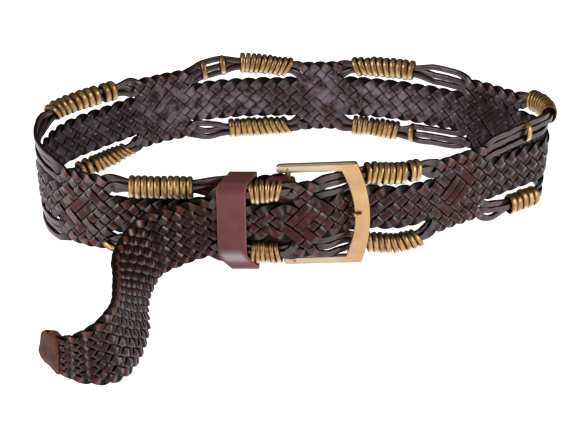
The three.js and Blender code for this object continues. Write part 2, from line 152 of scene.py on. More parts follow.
def belt_frame(along):
    """The middle line's point, the outward way and the way up across the strap, at a length along it."""
    along = held(along, 0.0, strap_length)
    i = held(bisect.bisect_right(middle_at, along) - 1, 0, len(middle_at) - 2)
    t = (along - middle_at[i]) / (middle_at[i + 1] - middle_at[i])
    point = middle_line[i].lerp(middle_line[i + 1], t)
    near = (middle_line[i + 1] - middle_line[max(i - 1, 0)]).normalized()
    far = (middle_line[min(i + 2, len(middle_line) - 1)] - middle_line[i]).normalized()
    heading = near.lerp(far, t)
    heading.z = 0
    heading.normalize()
    row = min(int((i + t) / pieces_per_span), len(course) - 2)
    lean = math.radians(blend(course[row][4], course[row + 1][4], (i + t) / pieces_per_span - row))
    up = Vector((0, 0, 1))
    sideways = up.cross(heading)
    outward = sideways * math.cos(lean) + up * math.sin(lean)
    across = up * math.cos(lean) - sideways * math.sin(lean)
    return point, outward, across


def on_belt(along, across, out):
    """A point on the belt: along its length, up across its width and out from its middle surface."""
    point, outward, upward = belt_frame(along)
    return point + upward * across + outward * out


# The plait. The real strap is twelve strips of dark brown leather, finished and glossy on the outer face and
# raw on the inner one. At the crossings all twelve are plaited together with longer floats in the middle, and
# between them the outer three of each edge run bare through the rings while the inner six go on as a plait.
strip_count = 12
bundle_strips = 3
crossing_width = 0.050
tail_width = 0.040
tail_end_width = 0.021
bundle_width = 0.0086
bundle_thickness = 0.006
crossing_ramp = 0.007
fan_out = 0.014
keeper_width = 0.0155
keeper_wall = 0.0018
keeper_grip = 0.0466
keeper_skew = 0.005
keeper_place = 0.8075
tab_length = 0.015
tab_grip = 0.008
strap_end = strap_length - tab_length + tab_grip
splits = (
    # name, from, to, middle plait's width, and the top and the bottom wrap: from, to, start and end height
    # from and to are shares of the strap's length, and widths and heights are shares of belt_height
    ("heel", 0.03, 0.107, 0.36, (0.059, 0.0965, 0.292, 0.3), (0.057, 0.089, 0.292, 0.3)),
    ("left", 0.143, 0.278, 0.44, (0.211, 0.264, 0.4, 0.36), (0.231, 0.2725, 0.39, 0.35)),
    ("back_left", 0.322, 0.394, 0.44, (0.354, 0.3875, 0.4, 0.345), (0.345, 0.3875, 0.36, 0.345)),
    ("back_right", 0.424, 0.509, 0.44, (0.4315, 0.473, 0.345, 0.37), (0.4315, 0.464, 0.345, 0.36)),
    ("right", 0.551, 0.643, 0.44, (0.558, 0.584, 0.38, 0.4), (0.596, 0.619, 0.4, 0.4)),
    ("front", 0.683, 0.756, 0.44, (0.693, 0.727, 0.36, 0.345), (0.69, 0.7245, 0.38, 0.38)),
    ("keeper_side", 0.772, 0.815, 0.36, (0.7785, 0.7965, 0.33, 0.31), (0.7785, 0.7965, 0.33, 0.31)),
)
settle_split = "front"
settle_at = 0.739
settle_height = 0.32


def ramp(value, low, high):
    """0 below low, 1 above high, and a smooth change between them."""
    t = held((value - low) / (high - low), 0.0, 1.0)
    return t * t * (3 - 2 * t)


def through(rows, at):
    """A smooth value through rows of (at, value)."""
    if at <= rows[0][0]:
        return rows[0][1]
    if at >= rows[-1][0]:
        return rows[-1][1]
    i = 0
    while rows[i + 1][0] < at:
        i += 1
    slopes = []
    for k in (i, i + 1):
        before = rows[max(k - 1, 0)]
        after = rows[min(k + 1, len(rows) - 1)]
        slopes.append((after[1] - before[1]) / (after[0] - before[0]))
    span = rows[i + 1][0] - rows[i][0]
    t = (at - rows[i][0]) / span
    start = rows[i][1] * (1 + 2 * t) * (1 - t) ** 2 + slopes[0] * span * t * (1 - t) ** 2
    end = rows[i + 1][1] * t * t * (3 - 2 * t) - slopes[1] * span * t * t * (1 - t)
    return start + end


keeper_on_tail = keeper_place * strap_length
keeper_middle = belt_frame(keeper_on_tail)[0]
keeper_on_start = middle_line[0].x - keeper_middle.x


def full_width_at(along):
    """The width of the whole plait, drawn in where the keeper squeezes both layers."""
    nearest = min(abs(along - keeper_on_start), abs(along - keeper_on_tail))
    gripped = keeper_width / 2 + keeper_skew
    return blend(keeper_grip, crossing_width, ramp(nearest, gripped, gripped + 3 * keeper_wall))


bundle_heights = {}
for name, split_from, split_to, middle, top_wrap, bottom_wrap in splits:
    for side, sign, wrap in (("top", 1, top_wrap), ("bottom", -1, bottom_wrap)):
        wrap_from, wrap_to, start_height, end_height = wrap
        start = min(split_from, wrap_from) * strap_length - bundle_width / 2
        end = max(split_to, wrap_to) * strap_length + bundle_width / 2
        heights = [
            (start, sign * (full_width_at(start) - bundle_width) / 2),
            (wrap_from * strap_length, sign * start_height * belt_height),
            (wrap_to * strap_length, sign * end_height * belt_height),
            (end, sign * (full_width_at(end) - bundle_width) / 2),
        ]
        if name == settle_split:
            heights.insert(3, (settle_at * strap_length, sign * settle_height * belt_height))
        bundle_heights[name, side] = heights


def bundle_height_at(name, side, along):
    """A bundle's height over the middle line."""
    height = through(bundle_heights[name, side], along)
    most = (full_width_at(along) - bundle_width) / 2
    if full_width_at(along) < crossing_width - fit_gap:
        return held(height, -most, most)
    return height


def split_at(along):
    """The split at a length, or the nearest one, and how far the strap is opened there, from 0 to 1."""
    best = None
    for row in splits:
        starts, ends = (share * strap_length for share in row[1:3])
        into = ramp(along, starts - crossing_ramp, starts + crossing_ramp)
        opened = into - ramp(along, ends - crossing_ramp, ends + crossing_ramp)
        if best is None or opened > best[1]:
            best = (row, opened)
    return best


tail_start = splits[-1][2] * strap_length


def whole_width_at(along):
    """The width of the plait where all twelve strips are in it."""
    in_tail = ramp(along, tail_start - crossing_ramp, tail_start + crossing_ramp)
    in_end = ramp(along, strap_end - tail_width, strap_end)
    return blend(full_width_at(along), tail_width, in_tail) + (tail_end_width - tail_width) * in_end


# How far apart the rows of the plait lie, in the split stretches, the crossings and the tail.
split_row = 0.0044
crossing_row = 0.0037
tail_row = 0.0036
rows_at = [0.003]
while rows_at[-1] < strap_end:
    row_split, opened = split_at(rows_at[-1])
    closed_row = tail_row if rows_at[-1] > tail_start else crossing_row
    rows_at.append(rows_at[-1] + split_row * opened + closed_row * (1 - opened))
row_count = len(rows_at) - 1

crossing_middles = [(before[2] + after[1]) / 2 * strap_length for before, after in zip(splits, splits[1:])]
crossing_middles.append(splits[0][1] / 2 * strap_length)
crossing_rows = [bisect.bisect_left(rows_at, middle) for middle in crossing_middles]
# The long floats round a crossing's middle, in steps along the falling and the rising strips.
float_pattern = (
    # fall from, to, rise from, to, rising strip is out
    (-2, 2, -2, 3, False),
    (-2, 2, 4, 5, True),
    (-2, 2, -5, -3, True),
    (-4, -3, -2, 2, True),
    (3, 4, -2, 2, True),
)


def rising_strip_is_out(row, lane):
    """True where the strip that moves up from a lane crosses on the outer face."""
    lanes = lane - (strip_count // 2 - 1)
    for middle_row in crossing_rows:
        fall = lanes + row - middle_row
        rise = lanes - row + middle_row
        for fall_from, fall_to, rise_from, rise_to, is_out in float_pattern:
            if fall_from <= fall <= fall_to and rise_from <= rise <= rise_to:
                return is_out
    return lane % 2 == 0


lane_of = [list(range(strip_count))]
out_of_strip = []
strip_in_lane = list(range(strip_count))
for row in range(row_count):
    middle = (rows_at[row] + rows_at[row + 1]) / 2
    opened = split_at(middle)[1]
    low_lane = bundle_strips if opened > 0.5 else 0
    high_lane = strip_count - low_lane
    sides = [0] * strip_count
    for lane in range(low_lane + (row + low_lane) % 2, high_lane - 1, 2):
        rising, falling = strip_in_lane[lane], strip_in_lane[lane + 1]
        sides[rising] = 1 if rising_strip_is_out(row, lane) else -1
        sides[falling] = -sides[rising]
        strip_in_lane[lane], strip_in_lane[lane + 1] = falling, rising
    out_of_strip.append(sides)
    lanes = [0] * strip_count
    for lane, strip in enumerate(strip_in_lane):
        lanes[strip] = lane
    lane_of.append(lanes)

# Where the three strips of a bundle lie round its middle, across and out, as shares of the bundle's size:
# pressed together inside the rings, and fanned out where they run bare.
bundle_nest = ((-0.26, -0.17), (0.02, 0.21), (0.27, -0.15))
selvage_inset = 0.0012
bundle_fan = ((-0.56, 0.05), (0.0, -0.08), (0.56, 0.04))


def lane_place(lane, along):
    """Across and out of a whole-numbered lane at a length along the strap."""
    row_split, opened = split_at(along)
    name, middle = row_split[0], row_split[3]
    closed_across = ((lane + 0.5) / strip_count - 0.5) * (whole_width_at(along) - 2 * selvage_inset)
    inner = strip_count - 2 * bundle_strips
    if bundle_strips <= lane < strip_count - bundle_strips:
        open_across = ((lane - bundle_strips + 0.5) / inner - 0.5) * middle * belt_height
        return blend(closed_across, open_across, opened), 0.0
    side = "top" if lane >= strip_count // 2 else "bottom"
    start, end = (bundle_heights[name, side][i][0] for i in (1, 2))
    fanned = ramp(max(start - along, along - end, 0.0), 0.0, fan_out)
    nest, fan = bundle_nest[lane % bundle_strips], bundle_fan[lane % bundle_strips]
    place_across, place_out = (blend(*pair, fanned) for pair in zip(nest, fan))
    open_across = bundle_height_at(name, side, along) + place_across * bundle_width
    return blend(closed_across, open_across, opened), place_out * bundle_thickness * opened


def spline(before, near, far, after, t):
    """A uniform cubic B-spline between near and far."""
    return (
        before * (1 - t) ** 3
        + near * (3 * t**3 - 6 * t * t + 4)
        + far * (-3 * t**3 + 3 * t * t + 3 * t + 1)
        + after * t**3
    ) / 6


rings_per_row = 6
plait_lift = 0.00108
plait_turn = 0.06
plait_fill = 0.90
under_spread = 0.07
stray_across = 0.00022
stray_out = 0.00012
strip_thickness = 0.0018
strip_width = 0.0057
bundle_strip_width = 0.0034
bundle_strip_thickness = 0.0024
dirt_and_shade_rows = (
    # share of the strap's length, how dark the leather is made there: dirt and handling, and painted shade
    # inside the loop's ends
    (0.0, 0.2),
    (0.13, 0.1),
    (0.17, 0.9),
    (0.27, 0.8),
    (0.32, 0.0),
    (0.45, 0.0),
    (0.50, 0.8),
    (0.60, 0.9),
    (0.68, 0.1),
    (0.79, 0.0),
    (0.84, 0.9),
    (1.0, 1.0),
)
gloss_rows = (
    # share of the strap's length, how much the outer face is polished by wear there
    (0.0, 0.0),
    (0.09, 0.0),
    (0.115, 0.55),
    (0.14, 0.55),
    (0.17, 0.0),
    (0.66, 0.0),
    (0.675, 0.12),
    (0.69, 0.0),
)
chance = random.Random(7)
strip_tones = [chance.uniform(-1, 1) for strip in range(strip_count)]


def strip_places(strip):
    """A strip's middle, outward way, width, thickness and looks at each ring.

    The looks are its lift in the plait, and how bare, how near the edge, how dark with dirt and painted shade
    and how glossy it is.
    """
    shifts = [(chance.uniform(-1, 1), chance.uniform(-1, 1)) for row in range(row_count + 1)]
    places = []
    for ring in range(row_count * rings_per_row + 1):
        row = min(ring // rings_per_row, row_count - 1)
        t = ring / rings_per_row - row
        around = [held(row + step, 0, row_count) for step in (-1, 0, 1, 2)]
        lane = spline(*(lane_of[k][strip] for k in around), t)
        along = spline(*(rows_at[k] for k in around), t)
        low_lane = min(int(lane), strip_count - 2)
        low, high = lane_place(low_lane, along), lane_place(low_lane + 1, along)
        across, nest_out = (blend(*pair, lane - low_lane) for pair in zip(low, high))

        half = ring / rings_per_row - 0.5
        k = math.floor(half)
        near, far = (out_of_strip[held(step, 0, row_count - 1)][strip] for step in (k, k + 1))
        lift = blend(near, far, ramp(half - k, plait_turn, 1 - plait_turn))

        row_split, opened = split_at(along)
        here = rows_at[row + 1] - rows_at[row]
        inner = strip_count - 2 * bundle_strips
        in_bundle = opened if not bundle_strips - 0.5 <= lane < strip_count - bundle_strips - 0.5 else 0.0
        pitch = (whole_width_at(along) - 2 * selvage_inset) / strip_count
        pitch = blend(pitch, row_split[3] * belt_height / inner, opened)
        width = min(strip_width, plait_fill * 2 * pitch * here / math.hypot(pitch, here))
        width = blend(width * (1 + under_spread * (1 - lift)), bundle_strip_width, in_bundle)
        thickness = blend(strip_thickness, bundle_strip_thickness, in_bundle)
        shift = [blend(*pair, t) for pair in zip(shifts[row], shifts[min(row + 1, row_count)])]
        across += shift[0] * stray_across
        out = lift * plait_lift + nest_out + shift[1] * stray_out
        point, outward, upward = belt_frame(along)
        middle = point + upward * across + outward * out
        edge_way = min(lane, strip_count - 1 - lane)
        looks = [lift * (1 - in_bundle), in_bundle, ramp(1 - edge_way, 0.2, 0.9)]
        looks += [through(rows, along / strap_length) for rows in (dirt_and_shade_rows, gloss_rows)]
        places.append((middle, outward, width, thickness, *looks))
    return places


# A strip's section, with its outer face upwards. Its side walls are painted dark as shade in the gaps between
# strips, and its rims are raw.
strip_section = (
    # share of width, share of thickness, raw edge, inner face, dark
    (-0.50, -0.28, 0.2, 1.0, 1.0),
    (-0.50, 0.28, 0.2, 0.0, 1.0),
    (-0.465, 0.44, 0.6, 0.0, 0.1),
    (-0.40, 0.48, 0.0, 0.0, 0.0),
    (0.00, 0.53, 0.0, 0.0, 0.0),
    (0.40, 0.48, 0.0, 0.0, 0.0),
    (0.465, 0.44, 0.6, 0.0, 0.1),
    (0.50, 0.28, 0.2, 0.0, 1.0),
    (0.50, -0.28, 0.2, 1.0, 1.0),
    (0.45, -0.48, 0.9, 1.0, 0.0),
    (0.00, -0.50, 0.0, 1.0, 0.0),
    (-0.45, -0.48, 0.9, 1.0, 0.0),
)


def layers(mesh, *names):
    """A bmesh's float layers of these names."""
    return [mesh.verts.layers.float[name] for name in names]


def outline(mesh, points):
    """Adds a closed outline through points to a bmesh, and returns its vertices and its edges."""
    vertices = bmesh.ops.create_circle(mesh, segments=len(points), radius=1)["verts"]
    for vertex, point in zip(vertices, points):
        vertex.co = point
    return vertices, list(dict.fromkeys(edge for vertex in vertices for edge in vertex.link_edges))


def pulled(mesh, made, way):
    """Moves what an extrusion made, and returns its vertices."""
    vertices = [part for part in made["geom"] if isinstance(part, bmesh.types.BMVert)]
    bmesh.ops.translate(mesh, verts=vertices, vec=way)
    return vertices


def spun(mesh, points, steps):
    """Adds a closed outline through points, turned once round z."""
    vertices, edges = outline(mesh, points)
    geom = [*vertices, *edges]
    turn = {"cent": (0, 0, 0), "axis": (0, 0, 1), "angle": 2 * math.pi}
    bmesh.ops.spin(mesh, geom=geom, steps=steps, use_merge=True, **turn)


def rounded(mesh, edges, size, segments):
    """Rounds edges of a bmesh."""
    kind = {"offset_type": "OFFSET", "affect": "EDGES", "profile": 0.5, "material": -1}
    bmesh.ops.bevel(mesh, geom=edges, offset=size, segments=segments, **kind)


def straight_strip(mesh, section, ring_count):
    """Adds a straight strip along z, a unit long for each ring, and returns its vertices.

    A row of its section is across and out, and may go on with raw edge, inner face and dark.
    """
    vertex_count = len(mesh.verts)
    circle, edges = outline(mesh, [(across, out, 0) for across, out, *looks in section])
    looks_layers = layers(mesh, "raw_edge", "inner_face", "painted_shade_and_dirt")
    for vertex, (across, out, *looks) in zip(circle, section):
        for layer, value in zip(looks_layers, looks):
            vertex[layer] = value
    far_vertices = pulled(mesh, bmesh.ops.extrude_edge_only(mesh, edges=edges), (0, 0, ring_count))
    far_edges = [edge for vertex in far_vertices for edge in vertex.link_edges]
    long_edges = [edge for edge in far_edges if edge.calc_length() > ring_count / 2]
    bmesh.ops.subdivide_edges(mesh, edges=long_edges, cuts=ring_count - 1, use_grid_fill=True)
    mesh.verts.ensure_lookup_table()
    vertices = mesh.verts[vertex_count:]
    ends = {edge for vertex in vertices for edge in vertex.link_edges if edge.is_boundary}
    bmesh.ops.holes_fill(mesh, edges=list(ends), sides=len(section))
    mesh.verts.ensure_lookup_table()
    return mesh.verts[vertex_count:]


bare_shade = 0.16
bare_wall = 0.6
bare_finish = 0.7
bare_bend = 0.04
outer_dirt_and_shade = 0.2
inner_dirt_and_shade = 0.12
clean_selvage = 0.8


def bend_strip(mesh, vertices, places, tone):
    """Bends a straight strip so that its rings lie at their places."""
    painted_shade_and_dirt, toned, inner_face = layers(mesh, "painted_shade_and_dirt", "tone", "inner_face")
    selvage, bend, wear_and_sheen = layers(mesh, "selvage", "bend", "wear_and_sheen")
    frames = []
    for i, (middle, outward, width, thickness, *looks) in enumerate(places):
        before = places[max(i - 1, 0)][0]
        after = places[min(i + 1, len(places) - 1)][0]
        tangent = (after - before).normalized()
        side = tangent.cross(outward).normalized()
        normal = side.cross(tangent).normalized()
        frames.append((middle, side * width, normal * thickness, *looks))
    for vertex in vertices:
        middle, side, normal, lift, bare, edge_share, dirt_and_shade, gloss = frames[round(vertex.co.z)]
        across, out, ring = vertex.co
        vertex.co = middle + side * across + normal * out
        inner = vertex[inner_face]
        # Painted shade darkens the strip where it dips under another strip and on its side walls, and bare
        # strips are darker.
        hidden = (0.5 - lift / 2 + inner * lift) * (1 - bare) + bare_shade * bare
        # Dirt and painted shade darken some stretches along the strap, the inner face the more.
        dirt_and_shade_darkening = dirt_and_shade * (outer_dirt_and_shade * (1 - clean_selvage * edge_share) + inner_dirt_and_shade * inner)
        vertex[painted_shade_and_dirt] = max(hidden, vertex[painted_shade_and_dirt] * (1 - bare_wall * bare), dirt_and_shade_darkening)
        vertex[wear_and_sheen] = gloss * (1 - inner)
        vertex[toned] = tone
        vertex[selvage] = edge_share * (1 - bare)
        vertex[inner_face] = inner * (1 - bare_finish * bare)
        vertex[bend] = max(ramp(1 - abs(lift), 0.0, 0.4), bare_bend * bare)


def new_mesh_with_masks():
    """An empty bmesh with the float layers that the leather and metal materials read."""
    mesh = bmesh.new()
    for name in ("raw_edge", "inner_face", "painted_shade_and_dirt", "tone", "selvage", "bend", "wear_and_sheen"):
        mesh.verts.layers.float.new(name)
    return mesh


def finished_piece(name, mesh, material, replaced, place=None):
    """Makes a piece of a bmesh, puts it in its place, hangs it on the root body and hides the CAD part it
    replaces.
    """
    if place:
        bmesh.ops.transform(mesh, matrix=place, verts=mesh.verts)
    bmesh.ops.recalc_face_normals(mesh, faces=mesh.faces)
    data = bpy.data.meshes.new(name)
    mesh.to_mesh(data)
    mesh.free()
    data.polygons.foreach_set("use_smooth", [True] * len(data.polygons))
    data.materials.append(material)
    piece = bpy.data.objects.new(name, data)
    bpy.context.scene.collection.objects.link(piece)
    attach(piece, "root")
    if replaced:
        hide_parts(replaced)


def feed(socket, value):
    """Links a socket to another one, or gives it a number or a colour."""
    if isinstance(value, bpy.types.NodeSocket):
        socket.id_data.links.new(value, socket)
    elif isinstance(value, (int, float)):
        socket.default_value = value
    else:
        socket.default_value = (*value, 1)


def dress(inputs, looks):
    """Gives a node's inputs their sockets, numbers or colours."""
    for name, value in looks.items():
        feed(inputs[name], value)


def noise(vector, scale, detail=3.0, roughness=0.55):
    """A noise texture on a vector, and its value output."""
    node = vector.id_data.nodes.new("ShaderNodeTexNoise")
    dress(node.inputs, {"Vector": vector, "Scale": scale, "Detail": detail, "Roughness": roughness})
    return node.outputs["Fac"]


def spread_out(value, low, high, new_low=0.0, new_high=1.0):
    """A value mapped from one range to another, and held inside it."""
    node = value.id_data.nodes.new("ShaderNodeMapRange")
    dress(node.inputs, {"Value": value, "From Min": low, "From Max": high})
    dress(node.inputs, {"To Min": new_low, "To Max": new_high})
    return node.outputs["Result"]


def calculate(operation, first, second):
    """A math node on two sockets or numbers."""
    node = first.id_data.nodes.new("ShaderNodeMath")
    node.operation = operation
    feed(node.inputs[0], first)
    feed(node.inputs[1], second)
    return node.outputs["Value"]


def times(first, second):
    """The product of two sockets or numbers."""
    return calculate("MULTIPLY", first, second)


def plus(first, second):
    """The sum of two sockets or numbers."""
    return calculate("ADD", first, second)


def mixed(share, first, second):
    """Two colours mixed by a share. Each of the three is a socket or a plain value."""
    node = share.id_data.nodes.new("ShaderNodeMix")
    node.data_type = "RGBA"
    for socket, value in ((0, share), (6, first), (7, second)):
        feed(node.inputs[socket], value)
    return node.outputs[2]


def mask(tree, name):
    """The value of one of a mesh's float layers."""
    node = tree.nodes.new("ShaderNodeAttribute")
    node.attribute_name = name
    return node.outputs["Fac"]


def new_material(name):
    """A material, its tree, its Principled BSDF's inputs and its Object coordinates."""
    material = bpy.data.materials.new(name)
    material.use_nodes = True
    tree = material.node_tree
    place = tree.nodes.new("ShaderNodeTexCoord").outputs["Object"]
    return material, tree, tree.nodes["Principled BSDF"].inputs, place


def bumped(height, distance, strength):
    """The normals of a surface that is raised by a height."""
    bump = height.id_data.nodes.new("ShaderNodeBump")
    dress(bump.inputs, {"Distance": distance, "Strength": strength, "Height": height})
    return bump.outputs["Normal"]


# Grain for all the leather: soft mottling, fine pores and creases, and the fibres of a raw side.
grain_group = bpy.data.node_groups.new("leather_grain", "ShaderNodeTree")
grain_group.interface.new_socket("Place", in_out="INPUT", socket_type="NodeSocketVector")
grain_group.interface.new_socket("Scale", in_out="INPUT", socket_type="NodeSocketFloat")
for name in ("Mottle", "Pores", "Fibre"):
    grain_group.interface.new_socket(name, in_out="OUTPUT", socket_type="NodeSocketFloat")
given = grain_group.nodes.new("NodeGroupInput").outputs
scaled = grain_group.nodes.new("ShaderNodeVectorMath")
scaled.operation = "SCALE"
dress(scaled.inputs, {0: given["Place"], "Scale": given["Scale"]})
grain_place = scaled.outputs["Vector"]
pores = grain_group.nodes.new("ShaderNodeTexVoronoi")
pores.feature = "DISTANCE_TO_EDGE"
dress(pores.inputs, {"Vector": grain_place, "Scale": 1500})
grain_looks = {
    "Mottle": noise(grain_place, 170, 4.0),
    "Pores": spread_out(pores.outputs["Distance"], 0.0, 0.25),
    "Fibre": noise(grain_place, 2600, 5.0, 0.7),
}
dress(grain_group.nodes.new("NodeGroupOutput").inputs, grain_looks)


def leather_grain(place, scale):
    """Places the leather grain group in a material."""
    node = place.id_data.nodes.new("ShaderNodeGroup")
    node.node_tree = grain_group
    dress(node.inputs, {"Place": place, "Scale": scale})
    return node.outputs


strip_dark = (0.010, 0.003, 0.003)
strip_red = (0.082, 0.017, 0.013)
strip_inner = (0.012, 0.008, 0.012)
strip_inner_pale_sheen = (0.180, 0.155, 0.190)
strip_raw = (0.22, 0.09, 0.055)
strip_selvage = (0.26, 0.075, 0.040)
strip_shade_and_dirt = (0.002, 0.001, 0.001)
strip_leather, tree, inputs, place = new_material("plaited_leather")
grain = leather_grain(place, 1.0)
mottle = spread_out(grain["Mottle"], 0.3, 0.72)
tone = spread_out(mask(tree, "tone"), -1, 1, 0.0, 0.45)
colour = mixed(plus(times(mottle, 0.55), tone), strip_dark, strip_red)
# The inner face is pale in patches, partly its own mottling and partly a painted bluish sheen, and whole
# stretches of it are darker.
pale_and_sheen_patches = spread_out(noise(place, 120, 2.0), 0.38, 0.62)
shaded = spread_out(noise(place, 24, 1.0), 0.38, 0.56, 0.25, 1.0)
inner_colour = mixed(times(pale_and_sheen_patches, shaded), strip_inner, strip_inner_pale_sheen)
is_inner = mask(tree, "inner_face")
colour = mixed(is_inner, colour, inner_colour)
# Fibres show on the raw rims and along the belt's edges. Painted shade makes the gaps and the parts of strips
# that dip under others nearly black, and dirt darkens some stretches.
fibre = spread_out(grain["Fibre"], 0.35, 0.7)
frayed = times(mask(tree, "raw_edge"), fibre)
colour = mixed(times(frayed, 0.9), colour, strip_raw)
rubbed = times(mask(tree, "selvage"), times(fibre, 0.85))
colour = mixed(rubbed, colour, strip_selvage)
shade_and_dirt_share = spread_out(mask(tree, "painted_shade_and_dirt"), 0.03, 0.43, 0.0, 0.98)
colour = mixed(shade_and_dirt_share, colour, strip_shade_and_dirt)
# The leather glints where it bends over another strip, where it is rubbed and in a few polished spots.
burnish = times(mask(tree, "bend"), spread_out(is_inner, 0.0, 1.0, 1.0, 0.8))
burnish = spread_out(burnish, 0.0, 1.0, 0.01, 0.5)
polish = spread_out(noise(place, 210, 1.0), 0.56, 0.68, 0.0, 0.3)
burnish = calculate("MAXIMUM", burnish, polish)
rubbing = spread_out(noise(place, 160, 1.0), 0.46, 0.6, 0.1, 1.0)
burnish = calculate("MAXIMUM", burnish, times(rubbing, mask(tree, "wear_and_sheen")))
# The coat fades where painted shade darkens the strip.
seen = spread_out(mask(tree, "painted_shade_and_dirt"), 0.2, 0.5, 1.0, 0.0)
rough = plus(spread_out(mottle, 0.0, 1.0, 0.34, 0.5), times(is_inner, 0.2))
height = plus(times(grain["Fibre"], is_inner), times(grain["Pores"], 0.25))
strip_looks = {
    "Base Color": colour,
    "Specular IOR Level": 0.08,
    "Coat Roughness": 0.2,
    "Coat IOR": 1.9,
    "Coat Weight": times(burnish, seen),
    "Roughness": plus(rough, times(frayed, 0.3)),
    "Normal": bumped(plus(height, mottle), 0.00014, 0.6),
}
dress(inputs, strip_looks)

strip_groups = {"strips_low": range(0, 4), "strips_middle": range(4, 8), "strips_high": range(8, 12)}
for name, strips in strip_groups.items():
    mesh = new_mesh_with_masks()
    for strip in strips:
        places = strip_places(strip)
        vertices = straight_strip(mesh, strip_section, len(places) - 1)
        bend_strip(mesh, vertices, places, strip_tones[strip])
    finished_piece(name, mesh, strip_leather, "braided_strap")


# The rings. Each wrap is a row of separate rings of brass wire, flattened and bent shut round a bundle, and a
# few rings sit alone. They lean a little this way and that, and antique lacquer darkens them unevenly.
# Painted shade darkens their insides, the ends where they meet and their upper ends, and a painted reflection
# pales their lower ends.
ring_rows = {
    # wrap: (rings, lean at its start and its end in degrees, rings that sit apart from the rest)
    ("heel", "top"): (10, 0, 2, ()),
    ("heel", "bottom"): (9, 0, 0, ()),
    ("left", "top"): (10, -34, -4, (8,)),
    ("left", "bottom"): (10, -8, -44, (1, 2)),
    ("back_left", "top"): (10, 0, 24, ()),
    ("back_left", "bottom"): (10, 0, -30, ()),
    ("back_right", "top"): (10, -22, 2, ()),
    ("back_right", "bottom"): (9, 3, 10, ()),
    ("right", "top"): (9, 0, 6, ()),
    ("right", "bottom"): (5, 4, 10, ()),
    ("front", "top"): (9, 0, -3, (2,)),
    ("front", "bottom"): (9, 28, 20, ()),
    ("keeper_side", "top"): (6, -18, 3, ()),
    ("keeper_side", "bottom"): (6, 16, -2, ()),
}
ring_share = 0.475
ring_half_thickness = 0.0009
ring_gap = 0.00042
ring_steps = 28
ring_squareness = 2.6
ring_stray = 0.00025
look_ahead = 0.0005
ring_darkest = 0.97
wire_share = 0.1
loose_rings = (
    # lone ring, split, side, share of the strap's length, lean in degrees, half its width
    (1, "heel", "bottom", 0.051, 0, 0.0017),
    (2, "heel", "bottom", 0.0985, 0, 0.0017),
    (2, "heel", "bottom", 0.1075, 62, 0.0016),
    (3, "back_left", "top", 0.329, 0, 0.0017),
    (4, "back_left", "top", 0.342, 0, 0.0017),
    (5, "back_right", "bottom", 0.474, 0, 0.0017),
    (6, "right", "top", 0.611, 0, 0.0017),
)

ring_deep = (0.25, 0.135, 0.048)
ring_light = (0.52, 0.32, 0.13)
ring_painted_sheen = (0.95, 0.82, 0.54)
ring_tarnish_and_shade = (0.030, 0.016, 0.008)
ring_brass, tree, inputs, place = new_material("antique_ring_brass")
patches = spread_out(noise(place, 260, 4.0), 0.36, 0.66)
specks = spread_out(noise(place, 1500, 3.0, 0.6), 0.56, 0.72)
tone = spread_out(mask(tree, "tone"), -1, 1, 0.0, 0.45)
colour = mixed(plus(times(patches, 0.55), tone), ring_deep, ring_light)
# A painted reflection pales each ring's lower end.
painted_lower_sheen = times(mask(tree, "wear_and_sheen"), spread_out(patches, 0.0, 1.0, 0.6, 1.0))
colour = mixed(painted_lower_sheen, colour, ring_painted_sheen)
colour = mixed(times(specks, 0.4), colour, ring_tarnish_and_shade)
# Painted shade darkens the rings' insides, their ends where they meet and their upper ends.
colour = mixed(mask(tree, "painted_shade_and_dirt"), colour, ring_tarnish_and_shade)
polished_rough = spread_out(patches, 0.0, 1.0, 0.40, 0.28)
ring_looks = {
    "Base Color": colour,
    "Metallic": 1.0,
    "Roughness": plus(polished_rough, times(mask(tree, "painted_shade_and_dirt"), 0.35)),
    "Normal": bumped(plus(patches, specks), 0.00008, 0.5),
}
dress(inputs, ring_looks)


def unit_circle(count):
    """Points round a circle of radius 1."""
    angles = [2 * math.pi * step / count for step in range(count)]
    return [(-math.sin(angle), math.cos(angle)) for angle in angles]


